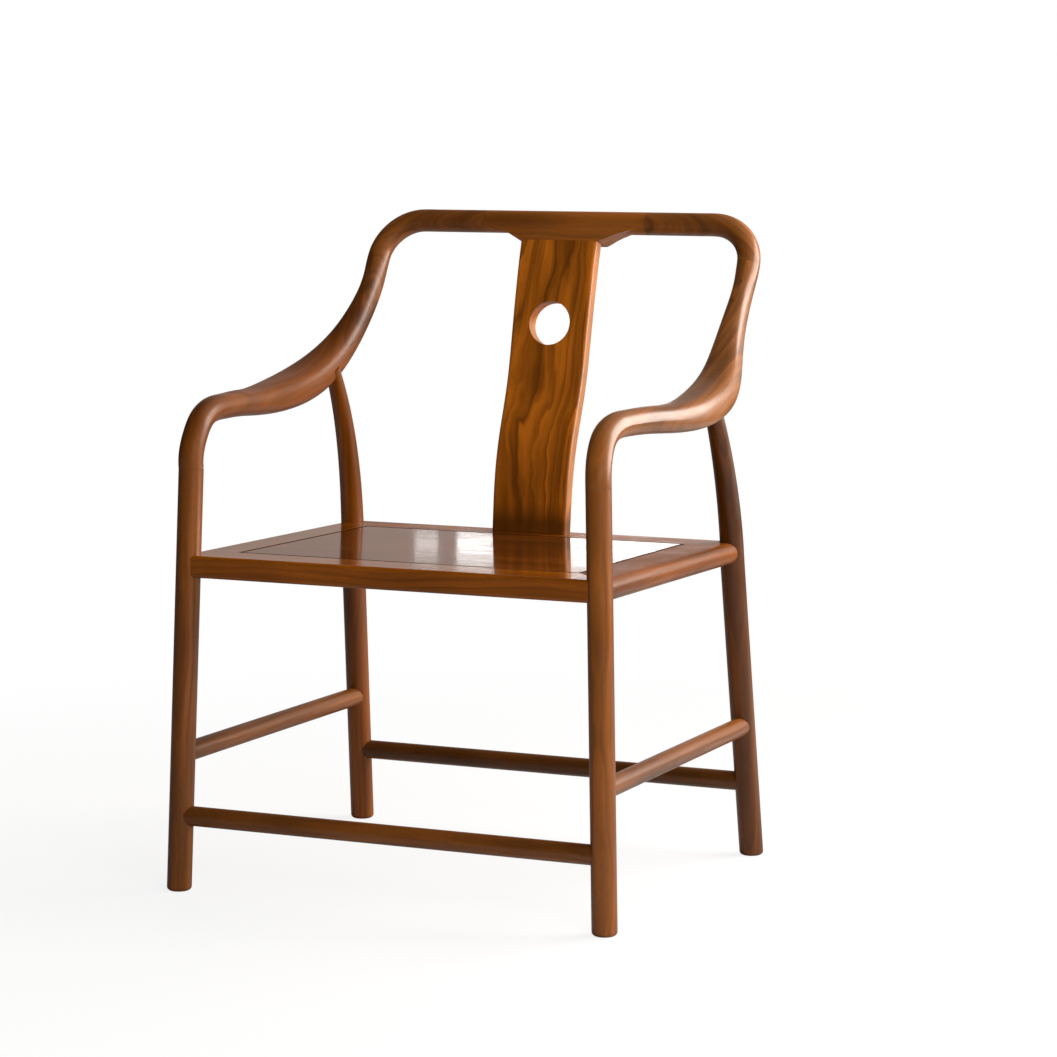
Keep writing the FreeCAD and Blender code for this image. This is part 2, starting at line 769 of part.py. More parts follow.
def back_splat(name):
    """Board trimmed to the seat, with its hole and two tenons."""
    board = splat_board(name + "_board")
    seat = doc.addObject("Part::Box", name + "_seat")
    seat.setExpression("Length", "2 * Size.splat_head_width")
    seat.setExpression("Width", "Size.overall_depth")
    seat.setExpression("Height", "Size.seat_height")
    seat.Placement = in_seat(Vector(-Size.splat_head_width, -Size.overall_depth / 2, 0))
    trimmed = cut(name + "_trimmed", board, [seat, splat_hole(name + "_hole")])
    head = splat_tenon(name + "_head_tenon", splat_head_centre, splat_head_direction)
    foot = splat_tenon(name + "_foot_tenon", splat_foot_centre, seat_normal)
    return fuse(name, [trimmed, head, foot])


head_mortise = splat_tenon("splat_head_mortise", splat_head_centre, splat_head_direction, grown=True)
foot_mortise = splat_tenon("splat_foot_mortise", splat_foot_centre, seat_normal, grown=True)


def neck_root(turn_degrees):
    """From the crest's axis to just inside its surface, turned down from level in front."""
    turn = math.radians(turn_degrees)
    return Vector(0, -math.cos(turn), -math.sin(turn)) * (ROOT_SHARE * Size.crest_diameter / 2)


def neck_cheek(root, foot):
    """Outline of the neck's front or back: its root on the crest, flaring up at both ends."""
    axis = Vector(0, Place.crest_y, Place.crest_z)
    splat_half = Size.splat_head_width / 2
    right = [(splat_half + out * Size.neck_flare, down) for out, down in NECK_FLARE_SHARES]
    left = [(-x, down) for x, down in reversed(right)]
    points = [axis + root + (foot - root) * down + X_AXIS * x for x, down in left + right]
    return Part.Wire([spline(points).toShape(), Part.makeLine(points[-1], points[0])])


def crest_centre(name):
    """Middle of the crest rail, carved out below into a neck that stands on the splat."""
    bar = rod(name + "_bar", mirror_point(crest_end), crest_end, "crest_diameter")
    front = Vector(0, -Size.neck_front_advance, -Size.neck_front_drop)
    back = front + backward(splat_head_direction) * Size.neck_depth
    cheeks = [
        neck_cheek(neck_root(BROW_TURN), front),
        neck_cheek(neck_root(NAPE_TURN), back),
    ]
    neck = doc.addObject("Part::Feature", name + "_neck")
    neck.Shape = Part.makeLoft(cheeks, True, True)
    whole = fuse(name + "_whole", [bar, neck])
    turn = FreeCAD.Rotation(X_AXIS, backward(splat_head_direction), splat_head_direction, "ZXY")
    below = doc.addObject("Part::Box", name + "_below")
    below.setExpression("Length", "Size.crest_centre_length")
    below.setExpression("Width", "Size.overall_depth")
    below.setExpression("Height", "Size.overall_height")
    corner = Vector(-Size.crest_centre_length / 2, -Size.overall_depth / 2, -Size.overall_height)
    below.Placement = FreeCAD.Placement(splat_head + turn.multVec(corner), turn)
    left_hole = mirrored(dowel_hole, name + "_left_hole")
    return cut(name, whole, [below, head_mortise, dowel_hole, left_hole])


# Seat frame: corner tenons of the front and back rails reach past the mitres
def corner_tenon(name, inner_half, inner_y, inward, grown=False):
    """Right-hand tenon near a frame's inner corner; inward points to the seat's middle."""
    reach = Size.corner_tenon_length / 2
    offset = Size.corner_tenon_inset + Size.corner_tenon_width / 2
    height = Place.rail_bottom + Size.corner_tenon_rise + Size.corner_tenon_thickness / 2
    centre = Vector(inner_half + reach, inner_y - inward * offset, height)
    sides = ("corner_tenon_length", "corner_tenon_width", "corner_tenon_thickness")
    return block(name, seat_tilt.multVec(centre), seat_turn, sides, grown)


def front_corner_tenon(name, grown=False):
    """Tenon from the front rail into the side rail."""
    return corner_tenon(name, Place.inner_front_half, Place.inner_front_y, 1, grown)


def back_corner_tenon(name, grown=False):
    """Tenon from the back rail into the side rail."""
    return corner_tenon(name, Place.inner_rear_half, Place.inner_rear_y, -1, grown)


groove = prism(
    "panel_groove",
    symmetric(("groove_front_half", "groove_front_y"), ("groove_rear_half", "groove_rear_y")),
    "Place.groove_bottom",
    "Place.groove_height",
)


def batten_bars(name, grown=False):
    """Two long bars whose ends are the tenons of the battens."""
    gap = Size.fit_gap if grown else 0
    bars = []
    for side, word in ((1, "right"), (-1, "left")):
        bar = doc.addObject("Part::Box", f"{name}_{word}")
        extra = " + 2 * Size.fit_gap" if grown else ""
        bar.setExpression("Length", "Size.batten_width" + extra)
        bar.setExpression(
            "Width", "Place.inner_rear_y - Place.inner_front_y + 2 * Size.batten_tenon_length" + extra
        )
        bar.setExpression("Height", "Size.batten_tenon_thickness" + extra)
        low = Place.batten_bottom + (Size.batten_thickness - Size.batten_tenon_thickness) / 2
        corner = Vector(
            side * Size.batten_spacing / 2 - Size.batten_width / 2 - gap,
            Place.inner_front_y - Size.batten_tenon_length - gap,
            low - gap,
        )
        bar.Placement = in_seat(corner)
        bars.append(bar)
    return bars


batten_mortises = batten_bars("batten_mortise", grown=True)


def cross_rail(name, outer, leg, inner, tenon, cuts):
    """A front or back seat rail: mitred plan, rounded outer edge, corner tenons."""
    corners = [(1, *outer), (1, *leg), (1, *inner), (-1, *inner), (-1, *leg), (-1, *outer)]
    blank = prism(name + "_blank", corners, "Place.rail_bottom", "Size.rail_thickness")
    face_y = getattr(Place, outer[1])
    round_edges(blank, "Size.rail_round", lambda edge: on_outer_edge(edge, face_y))
    right = tenon(name + "_tenon_right")
    left = mirrored(right, name + "_tenon_left")
    notched = cut(name + "_notched", blank, cuts)
    return fuse(name, [notched, right, left])


def on_outer_edge(edge, face_y):
    """True for the long edges of a cross rail's outer face."""
    box = edge.BoundBox
    return box.YLength < box.XLength and math.isclose(box.Center.y, face_y, abs_tol=Size.fit_gap)


def side_rail(name):
    """Right-hand seat rail: mitred plan, bullnosed outer edge, corner mortises."""
    corners = [
        (1, "side_front_half", "front_leg_y"),
        (1, "side_rear_half", "rear_leg_y"),
        (1, "rear_leg_half", "rear_leg_y"),
        (1, "inner_rear_half", "inner_rear_y"),
        (1, "inner_front_half", "inner_front_y"),
        (1, "front_leg_half", "front_leg_y"),
    ]
    blank = prism(name + "_blank", corners, "Place.rail_bottom", "Size.rail_thickness")
    outer_x = (Place.side_front_half + Place.side_rear_half) / 2
    round_edges(blank, "Size.side_rail_round", lambda edge: on_side_edge(edge, outer_x))
    cuts = [
        front_shaft,
        rear_shaft,
        groove,
        front_corner_tenon(name + "_front_mortise", grown=True),
        back_corner_tenon(name + "_back_mortise", grown=True),
    ]
    return cut(name, blank, cuts)


def on_side_edge(edge, outer_x):
    """True for the long edges of the side rail's outer face."""
    box = edge.BoundBox
    return box.XLength < box.YLength and math.isclose(box.Center.x, outer_x, abs_tol=Size.fit_gap)


def seat_panel(name):
    """Floating panel: a field flush with the frame and a tongue all round."""
    field = prism(
        name + "_field",
        symmetric(("field_front_half", "field_front_y"), ("field_rear_half", "field_rear_y")),
        "Place.panel_bottom",
        "Size.panel_thickness",
    )
    middle = Place.panel_bottom + Size.panel_thickness / 2
    round_edges(field, "Size.panel_edge_round", lambda edge: edge.BoundBox.ZMin > middle)
    tongue = prism(
        name + "_tongue",
        symmetric(("tongue_front_half", "tongue_front_y"), ("tongue_rear_half", "tongue_rear_y")),
        "Place.tongue_bottom",
        "Size.tongue_thickness",
    )
    return fuse(name, [field, tongue])


def batten(name, bar, side):
    """A batten under the panel with a stub tenon at each end."""
    body = doc.addObject("Part::Box", name + "_body")
    body.setExpression("Length", "Size.batten_width")
    body.setExpression("Width", "Place.inner_rear_y - Place.inner_front_y")
    body.setExpression("Height", "Size.batten_thickness")
    left_edge = side * Size.batten_spacing / 2 - Size.batten_width / 2
    corner = Vector(left_edge, Place.inner_front_y, Place.batten_bottom)
    body.Placement = in_seat(corner)
    return fuse(name, [body, bar])


def build():
    """Every sub-part by its node's name."""
    parts = {}
    for kind, maker in (
        ("front_leg", front_leg),
        ("rear_leg", rear_leg),
        ("arm", arm),
        ("crest_corner", crest_corner),
        ("crest_dowel", crest_dowel),
        ("seat_rail", side_rail),
    ):
        parts[kind + "_right"] = maker(kind + "_right")
    parts["scarf_wedge_right"] = common("scarf_wedge_right", [rail, wedge_bar])
    parts["stretcher_right"] = stretcher("stretcher_right", side_line, [front_shaft, rear_shaft])
    for name in list(parts):
        twin = name.replace("_right", "_left")
        parts[twin] = mirrored(parts[name], twin)
    parts["crest_centre"] = crest_centre("crest_centre")
    parts["back_splat"] = back_splat("back_splat")
    parts["seat_panel"] = seat_panel("seat_panel")
    parts["seat_rail_front"] = cross_rail(
        "seat_rail_front",
        ("front_leg_half", "rail_front_y"),
        ("front_leg_half", "front_leg_y"),
        ("inner_front_half", "inner_front_y"),
        front_corner_tenon,
        [front_shaft, front_shaft_left, groove, *batten_mortises],
    )
    parts["seat_rail_back"] = cross_rail(
        "seat_rail_back",
        ("rear_leg_half", "rail_back_y"),
        ("rear_leg_half", "rear_leg_y"),
        ("inner_rear_half", "inner_rear_y"),
        back_corner_tenon,
        [rear_shaft, rear_shaft_left, groove, foot_mortise, *batten_mortises],
    )
    right_bar, left_bar = batten_bars("batten_tenon")
    parts["seat_batten_right"] = batten("seat_batten_right", right_bar, 1)
    parts["seat_batten_left"] = batten("seat_batten_left", left_bar, -1)
    front_pair = [front_shaft, front_shaft_left]
    rear_pair = [rear_shaft, rear_shaft_left]
    parts["stretcher_front"] = stretcher("stretcher_front", front_line, front_pair)
    parts["stretcher_back"] = stretcher("stretcher_back", back_line, rear_pair)
    return parts


def check(parts):
    """Stop if any object of the document failed or any sub-part isn't one sound solid."""
    for item in doc.Objects:
        if "Invalid" in item.State or "Error" in item.State:
            raise RuntimeError(f"{item.Name} failed: {item.State}")
    for name, part in parts.items():
        if part.Shape.isNull() or not part.Shape.isValid():
            raise RuntimeError(f"{name} has no sound shape")
        if len(part.Shape.Solids) != 1:
            raise RuntimeError(f"{name} has {len(part.Shape.Solids)} solids")


def write(parts):
    """One STEP file for each sub-part."""
    os.makedirs("parts", exist_ok=True)
    for name, part in parts.items():
        part.Label = name
        part.Shape.exportStep(f"parts/{name}.step")
        box = part.Shape.BoundBox
        print(f"{name:20s} {part.Shape.Volume / 1000:9.1f} cm3  x {box.XMin:7.1f} {box.XMax:7.1f}"
              f"  y {box.YMin:7.1f} {box.YMax:7.1f}  z {box.ZMin:7.1f} {box.ZMax:7.1f}")


subparts = build()
doc.recompute()
check(subparts)
write(subparts)
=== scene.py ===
import math

import bpy
from mathutils import Matrix, Vector

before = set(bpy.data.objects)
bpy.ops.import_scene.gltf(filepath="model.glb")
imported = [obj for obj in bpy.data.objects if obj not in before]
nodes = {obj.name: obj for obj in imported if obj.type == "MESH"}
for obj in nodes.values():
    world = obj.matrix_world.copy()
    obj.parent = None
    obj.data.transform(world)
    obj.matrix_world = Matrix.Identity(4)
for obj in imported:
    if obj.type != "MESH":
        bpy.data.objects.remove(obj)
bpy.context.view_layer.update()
scene = bpy.context.scene

X = Vector((1, 0, 0))
Z = Vector((0, 0, 1))

# Joint places of the right-hand side, repeated from the CAD model, in metres
ELBOW = Vector((0.26496, -0.24196, 0.510))
LEG_DIRECTION = Vector((-0.02945, 0.03436, 0.99898))
SCARF = Vector((0.25790, 0.21861, 0.7110))
SCARF_RISE = Vector((0.0090, 0.5420, 0.8403))
SCARF_HALF = 0.031
CREST_SEAM = 0.1125
SPLAT_FOOT = Vector((0, 0, 0.402))

# Tones of the wood, as linear light
LEG = (0.177, 0.053, 0.006)
REAR_LEG = {"right": (0.095, 0.026, 0.002), "left": (0.172, 0.045, 0.002)}
# The left arm's darker tone is painted shade, for the arm on the side away from the light
ARM_TONE_AND_SHADE = {"right": (0.230, 0.078, 0.014), "left": (0.145, 0.040, 0.004)}
RAIL = (0.210, 0.056, 0.003)
SIDE_RAIL = {"right": (0.150, 0.040, 0.003), "left": (0.210, 0.056, 0.003)}
CREST = (0.195, 0.059, 0.007)
CORNER = {"right": (0.200, 0.064, 0.010), "left": (0.175, 0.055, 0.009)}
SPLAT = (0.375, 0.105, 0.005)
SEAT = (0.120, 0.033, 0.006)
STRETCHER = (0.160, 0.050, 0.008)
BACK_STRETCHER = (0.095, 0.030, 0.005)
PEG = (0.085, 0.030, 0.009)
# Colour of the painted highlight laid on a side that faces the light
PAINTED_HIGHLIGHT = (0.45, 0.21, 0.09)

# Brightness of each part of the figure, and of the painted shade, beside the wood's own tone
LIGHT_STREAK = 1.55
DARK_STREAK = 0.52
LATE_WOOD = 0.30
# Darkness of the painted shade over the splat's foot
PAINTED_SHADE = 0.22
PORE = 0.18
SEAM = 0.12
# Darkness of the painted shade on the walls of the seat's groove
GROOVE_SHADE = 0.10

# Share of the soft streaks in the figure, the rest being patches, and how far its tones spread
STREAK_SHARE = 0.55
SPREAD = 0.16

# Grain that rises more than this is set square to X, not to Z
STEEP = 0.8

# Waves per metre of each noise: both ways across the grain, then along it
OUT_OF_ROUND = (16.0, 16.0, 5.0)
PATCHES = (14.0, 14.0, 3.4)
PORES = (1400.0, 1400.0, 70.0)
# Here the first is outward from the pith
STREAKS = (95.0, 18.0, 2.6)
# Here the first is per growth ring
YEARS = (0.9, 1.0, 1.6)
# Here only the last one counts, and the pith's two directions read noises that lie apart
PITH_WANDER = (1.0, 1.0, 4.2)
PITH_NOISES = (0.0, 7.3)
# The same all ways
HANDLED = 22.0
LACQUER_WAVES = 42.0

# Ramps: place and level of each stop. A ring from its inner to its outer edge, and pores out of noise
RING_PROFILE = ((0.0, 0.0), (0.40, 0.10), (0.72, 0.55), (0.90, 1.0), (1.0, 0.05))
PORE_STOPS = ((0.60, 0.0), (0.72, 1.0))
PORE_STRENGTH = 0.40

# Ranges: a low and a high value, and the levels that they turn into
YEAR_STRENGTH = (0.34, 0.66, 0.25, 1.0)
# The painted highlight: how far a face turns to the light before it starts and where it is full
HIGHLIGHT_TURN = (0.70, 0.92, 0.0, 0.5)
# Where the painted shade in the seat's groove falls: on the panel's walls, then on the rails' walls
PANEL_WALL = (0.75, 0.97, 0.95, 0.0)
RAIL_WALL = (0.04, 0.10, 0.0, 0.9)
# Here the levels come from the finish
HANDLING = (0.35, 0.65)

# Heights where the figure is plainest and where it is full again, over and under the elbow's seam
ARM_CALM = (0.515, 0.585)
LEG_CALM = (0.505, 0.42)
# Over these heights: how lively the figure is, and how much of the leg's tone is laid over it
CALM_FIGURE = (0.2, 1.0)
CALM_TONE = (0.9, 0.0)

# The painted shade's shares of its reach: how ragged its edge is, and how far it stays full
PAINTED_SHADE_RAGGED = 0.5
PAINTED_SHADE_FULL = 0.35

# A seam is dark to the first distance from its plane and gone at the second, in metres
SEAM_EDGES = (0.0002, 0.0008)
SEAM_STRENGTH = {"elbow": 0.2, "scarf": 0.3, "crest": 0.4}

# Lacquer: its reflection, and the bump that the streaks and pores under it make
SPECULAR = 0.35
BUMP_STRENGTH = 0.30
BUMP_DEPTH = 0.0004
STREAK_RELIEF = 0.35
PORE_RELIEF = 0.5

# How each piece is sawn, for the right-hand one of a pair: the direction of its grain, a point in the
# middle of its trunk and a place along the trunk
SAWN = {
    "front_leg": (LEG_DIRECTION, (0.262, -0.150, 0.30), 0.3),
    "rear_leg": ((0, -0.05, 1), (0.300, 0.110, 0.30), 0.9),
    "arm": ((-0.03, 0.96, 0.28), (0.08, -0.05, 0.70), 0.0),
    "crest_corner": ((-0.75, 0.2, 0.62), (0.12, 0.06, 0.70), 0.0),
    "crest_centre": (X, (0, 0.36, 0.76), 0.0),
    "back_splat": ((0, 0.22, 0.97), (-0.062, 0.235, 0.58), 0.0),
    "seat_rail": ((0, 1, 0), (0.33, 0, 0.30), 0.0),
    "seat_rail_front": (X, (0, -0.20, 0.33), 1.1),
    "seat_rail_back": (X, (0, 0.20, 0.33), 2.3),
    "seat_panel": (X, (0, -0.16, 0.33), 0.0),
    "seat_batten": ((0, 1, 0), (0.10, 0, 0.30), 0.0),
    "stretcher": ((0, 1, 0.02), (0.24, 0, 0.10), 0.0),
    "stretcher_front": (X, (0, -0.20, 0.05), 1.7),
    "stretcher_back": (X, (0, 0.24, 0.05), 2.9),
}
# The left-hand pieces come from further along the trunk
LEFT_SHIFT = 5.2
# The crest's dowels and the scarfs' wedges, both small and cut from the same wood on either side
DOWEL_PITH = (0, 0.25, 0.78)
WEDGE_GRAIN = (0, -0.84, 0.54)
WEDGE_PITH = Vector((0.01, 0.0, 0.02))

# Figures that differ from the common one; ring widths, wander and sway are in metres
LEG_FIGURE = {"ring": 0.55, "contrast": 1.45, "calm": LEG_CALM}
REAR_LEG_FIGURE = {"ring": 0.55, "contrast": 1.35}
CORNER_FIGURE = {"ring": 0.5, "ring_width": 0.008}
ARM_FIGURE = {**CORNER_FIGURE, "contrast": 1.35, "calm": ARM_CALM}
SEAT_FIGURE = {"ring": 0.5, "ring_width": 0.009}
SPLAT_FIGURE = {"ring": 0.85, "ring_width": 0.011, "wander": 0.018, "sway": 0.026, "contrast": 1.7}
# Painted shade over the splat's foot, where it meets the seat: point, direction, reach and strength
FOOT_PAINTED_SHADE = (SPLAT_FOOT, Z, 0.040, 0.85)
# Direction that the splat's painted highlight faces: its side towards the light is painted paler
SPLAT_LIT_SIDE = (0.92, 0, 0.39)

# Finishes that differ from the common satin one; the seat frame is polished more than the rest
GLOSS = {"rough": 0.14, "uneven": 0.02, "coat": 0.25, "coat_rough": 0.08, "relief": 0.5, "ripple": 0.1}
SIDE_RAIL_FINISH = {"right": {"rough": 0.34, "coat": 0.0}, "left": GLOSS}
BACK_RAIL_FINISH = {"rough": 0.32}
SEAT_FINISH = {"rough": 0.08, "uneven": 0.015, "coat": 0.0, "relief": 0.25, "ripple": 0.4}
ARM_FINISH = {"right": {"coat": 0.35, "coat_rough": 0.22}, "left": {"coat": 0.12, "coat_rough": 0.22}}
SPLAT_FINISH = {"rough": 0.42}


class Shader:
    """Short calls for building the node tree of a material or a world."""

    def __init__(self, owner):
        owner.use_nodes = True
        self.tree = owner.node_tree
        self.tree.nodes.clear()
        self.places = self.node("ShaderNodeTexCoord").outputs
        self.position = self.places["Object"]

    def node(self, kind, **values):
        made = self.tree.nodes.new(kind)
        for key, value in values.items():
            setattr(made, key, value)
        return made

    def put(self, socket, value):
        """Link an output to a socket, or write a constant on it."""
        if isinstance(value, bpy.types.NodeSocket):
            self.tree.links.new(value, socket)
        else:
            socket.default_value = value

    def math(self, operation, *values):
        made = self.node("ShaderNodeMath", operation=operation)
        for socket, value in zip(made.inputs, values):
            self.put(socket, value)
        return made.outputs[0]

    def add(self, first, second):
        return self.math("ADD", first, second)

    def subtract(self, first, second):
        return self.math("SUBTRACT", first, second)

    def times(self, first, second):
        return self.math("MULTIPLY", first, second)

    def dot(self, vector, direction):
        made = self.node("ShaderNodeVectorMath", operation="DOT_PRODUCT")
        self.put(made.inputs[0], vector)
        self.put(made.inputs[1], direction)
        return made.outputs["Value"]

    def length(self, vector):
        made = self.node("ShaderNodeVectorMath", operation="LENGTH")
        self.put(made.inputs[0], vector)
        return made.outputs["Value"]

    def past(self, point, direction):
        """How far the surface lies past a point, along a direction."""
        return self.subtract(self.dot(self.position, direction), Vector(point).dot(direction))

    def combine(self, x, y, z):
        made = self.node("ShaderNodeCombineXYZ")
        for socket, value in zip(made.inputs, (x, y, z)):
            self.put(socket, value)
        return made.outputs[0]

    def noise(self, vector, scale=1.0, detail=2.0, rough=0.5, distortion=0.0):
        made = self.node("ShaderNodeTexNoise", noise_dimensions="3D")
        self.put(made.inputs["Vector"], vector)
        made.inputs["Scale"].default_value = scale
        made.inputs["Detail"].default_value = detail
        made.inputs["Roughness"].default_value = rough
        made.inputs["Distortion"].default_value = distortion
        return made.outputs["Fac"]

    def pattern(self, values, waves, **kind):
        """Noise over three values, each with its own number of waves."""
        place = self.combine(*(self.times(value, count) for value, count in zip(values, waves)))
        return self.noise(place, **kind)

    def centred(self, noise):
        """Noise carried to both sides of zero."""
        return self.subtract(noise, 0.5)

    def ramp(self, value, *stops):
        made = self.node("ShaderNodeValToRGB")
        self.put(made.inputs[0], value)
        elements = made.color_ramp.elements
        while len(elements) < len(stops):
            elements.new(0.5)
        for element, (place, colour) in zip(elements, stops):
            element.position = place
            level = (colour, colour, colour) if isinstance(colour, float) else colour
            element.color = (*level, 1.0)
        return made.outputs["Color"]

    def remap(self, value, low, high, to_low, to_high):
        made = self.node("ShaderNodeMapRange", clamp=True)
        for socket, entry in zip(made.inputs, (value, low, high, to_low, to_high)):
            self.put(socket, entry)
        return made.outputs[0]

    def mix(self, factor, first, second):
        """Mix two colours."""
        made = self.node("ShaderNodeMix", data_type="RGBA", clamp_factor=True)
        self.put(made.inputs["Factor"], factor)
        for socket, value in ((made.inputs["A"], first), (made.inputs["B"], second)):
            self.put(socket, (*value, 1.0) if isinstance(value, tuple) else value)
        return made.outputs["Result"]

    def choose(self, factor, first, second):
        """Mix two shaders."""
        made = self.node("ShaderNodeMixShader")
        for socket, value in zip(made.inputs, (factor, first, second)):
            self.put(socket, value)
        return made.outputs[0]

    def glow(self, kind, colour):
        """An emission or background shader of a colour, at a strength of 1."""
        made = self.node(kind)
        self.put(made.inputs["Color"], colour)
        made.inputs["Strength"].default_value = 1.0
        return made.outputs[0]

    def output(self, kind, shader):
        self.put(self.node(kind).inputs["Surface"], shader)


def shade(colour, factor):
    """A colour made darker or lighter."""
    return tuple(factor * level for level in colour)


def across_grain(along):
    """The grain's direction and two directions square to it."""
    along = Vector(along).normalized()
    helper = Z if abs(along.z) < STEEP else X
    first = along.cross(helper).normalized()
    return along, first, along.cross(first).normalized()


def grain_place(s, along, pith, shift):
    """Where the surface lies both ways across the grain from the pith, and along the grain."""
    along, first, second = across_grain(along)
    return s.past(pith, first), s.past(pith, second), s.add(s.dot(s.position, along), shift)


def ring_radius(s, place, wander, sway):
    """Distance from a pith that wanders along the trunk, for rings a little out of round."""
    *across, u = place
    squares = []
    for offset, pick in zip(across, PITH_NOISES):
        bend = s.centred(s.pattern((pick, 0.0, u), PITH_WANDER))
        bent = s.add(offset, s.times(bend, 2 * wander))
        squares.append(s.times(bent, bent))
    oval = s.centred(s.pattern(place, OUT_OF_ROUND, detail=3.0, distortion=0.3))
    return s.add(s.math("SQRT", s.add(*squares)), s.times(oval, 2 * sway))


def ring_figure(s, radius, u, ring_width):
    """The rings' late wood. Rings differ from each other and fade in and out along the trunk."""
    count = s.math("DIVIDE", radius, ring_width)
    late = s.ramp(s.math("FRACT", count), *RING_PROFILE)
    years = s.pattern((count, 0.0, u), YEARS, rough=0.6)
    return s.times(late, s.remap(years, *YEAR_STRENGTH))


def groove_shadow(s, normal, part):
    """Where a wall of the groove between seat panel and frame lies in the dark."""
    if part == "panel":
        return s.remap(s.dot(normal, Z), *PANEL_WALL)
    # a rail's wall looks towards the middle of the seat
    level = s.times(s.dot(normal, Z), s.dot(s.position, Z))
    inward = s.subtract(level, s.dot(normal, s.position))
    return s.remap(inward, *RAIL_WALL)


def stain_mask(s, ragged, point, direction, reach, strength):
    """Painted shade that starts at a point and ends raggedly at its reach."""
    away = s.add(s.past(point, direction), s.times(s.centred(ragged), PAINTED_SHADE_RAGGED * reach))
    return s.remap(away, PAINTED_SHADE_FULL * reach, reach, strength, 0.0)


def seam_line(s, point, through, limit):
    """Thin line where the plane of a joint cuts the surface; a limit keeps it to one stretch."""
    line = s.remap(s.math("ABSOLUTE", s.past(point, through)), *SEAM_EDGES, 1.0, 0.0)
    if limit:
        middle, direction, half_length = limit
        off = s.math("ABSOLUTE", s.past(middle, direction))
        line = s.times(line, s.math("LESS_THAN", off, half_length))
    return line


def lacquer(s, colour, streaks, pores, rough=0.36, uneven=0.06, coat=0.18, coat_rough=0.18,
            relief=1.0, ripple=0.0):
    """Satin lacquer, uneven from handling and sunk into the grain; ripple is its own waviness."""
    shader = s.node("ShaderNodeBsdfPrincipled")
    s.put(shader.inputs["Base Color"], colour)
    handled = s.noise(s.position, HANDLED, detail=3.0, rough=0.6)
    gloss = s.remap(handled, *HANDLING, rough - uneven, rough + uneven)
    s.put(shader.inputs["Roughness"], s.add(gloss, s.times(pores, 2 * uneven)))
    shader.inputs["Specular IOR Level"].default_value = SPECULAR
    shader.inputs["Coat Weight"].default_value = coat
    shader.inputs["Coat Roughness"].default_value = coat_rough
    bump = s.node("ShaderNodeBump")
    bump.inputs["Strength"].default_value = BUMP_STRENGTH
    bump.inputs["Distance"].default_value = BUMP_DEPTH
    grain = s.subtract(s.times(streaks, STREAK_RELIEF), s.times(pores, PORE_RELIEF))
    waves = s.noise(s.position, LACQUER_WAVES, rough=0.6)
    s.put(bump.inputs["Height"], s.add(s.times(grain, relief), s.times(waves, ripple)))
    s.put(shader.inputs["Normal"], bump.outputs[0])
    s.output("ShaderNodeOutputMaterial", shader.outputs[0])


def wood(name, along, pith, shift, tone, ring=0.45, ring_width=0.006, wander=0.012, sway=0.004,
         contrast=1.15, calm=None, pale_side=None, groove=None, stain=None, seams=(), **finish):
    """Lacquered solid wood: growth rings round a pith, streaks, patches, pores and seams, with painted
    shade and a painted highlight where asked.
    """
    material = bpy.data.materials.new(name)
    s = Shader(material)
    normal = s.node("ShaderNodeNewGeometry").outputs["Normal"]
    place = grain_place(s, along, pith, shift)
    _, w, u = place
    radius = ring_radius(s, place, wander, sway)
    figure = ring_figure(s, radius, u, ring_width)
    streaks = s.pattern((radius, w, u), STREAKS, detail=4.0, rough=0.55, distortion=0.4)
    patches = s.pattern(place, PATCHES, distortion=0.5)
    pores = s.ramp(s.pattern(place, PORES, rough=0.6), *PORE_STOPS)
    level = s.add(s.times(streaks, STREAK_SHARE), s.times(patches, 1 - STREAK_SHARE))
    # masks and the colours that they lay over the wood, one on the other
    layers = []
    if calm:
        # plainer towards a joint, where the grain has to meet that of the next piece
        height = s.dot(s.position, Z)
        lively = s.remap(height, *calm, *CALM_FIGURE)
        level = s.add(0.5, s.times(lively, s.centred(level)))
        figure = s.times(figure, lively)
        layers.append((s.remap(height, *calm, *CALM_TONE), LEG))
    half = SPREAD / contrast
    light = shade(tone, LIGHT_STREAK)
    dark = shade(tone, DARK_STREAK)
    colour = s.ramp(level, (0.5 - half, dark), (0.5, tone), (0.5 + half, light))
    layers.append((s.times(figure, ring), shade(tone, LATE_WOOD)))
    layers.append((s.times(pores, PORE_STRENGTH), shade(tone, PORE)))
    # painted highlight on the side that faces the light
    if pale_side:
        layers.append((s.remap(s.dot(normal, pale_side), *HIGHLIGHT_TURN), PAINTED_HIGHLIGHT))
    # painted shade on the walls of the groove round the seat panel
    if groove:
        layers.append((groove_shadow(s, normal, groove), shade(tone, GROOVE_SHADE)))
    # painted shade over the splat's foot, ending raggedly
    if stain:
        layers.append((stain_mask(s, patches, *stain), shade(tone, PAINTED_SHADE)))
    for point, through, limit, strength in seams:
        line = seam_line(s, point, through, limit)
        layers.append((s.times(line, strength), shade(tone, SEAM)))
    for mask, layer in layers:
        colour = s.mix(mask, colour, layer)
    lacquer(s, colour, streaks, pores, **finish)
    return material


def flip(vector, side):
    """A right-hand place or direction carried to the given side."""
    return Vector((side * vector[0], vector[1], vector[2]))


def cover(node, material):
    mesh = nodes[node].data
    mesh.materials.clear()
    mesh.materials.append(material)


def dress(node, piece, tone, side=1, **look):
    """Give a CAD node a wood of its own, sawn as its kind of piece is."""
    along, pith, shift = SAWN[piece]
    if side < 0:
        shift += LEFT_SHIFT
    cover(node, wood(node, flip(along, side), flip(pith, side), shift, tone, **look))


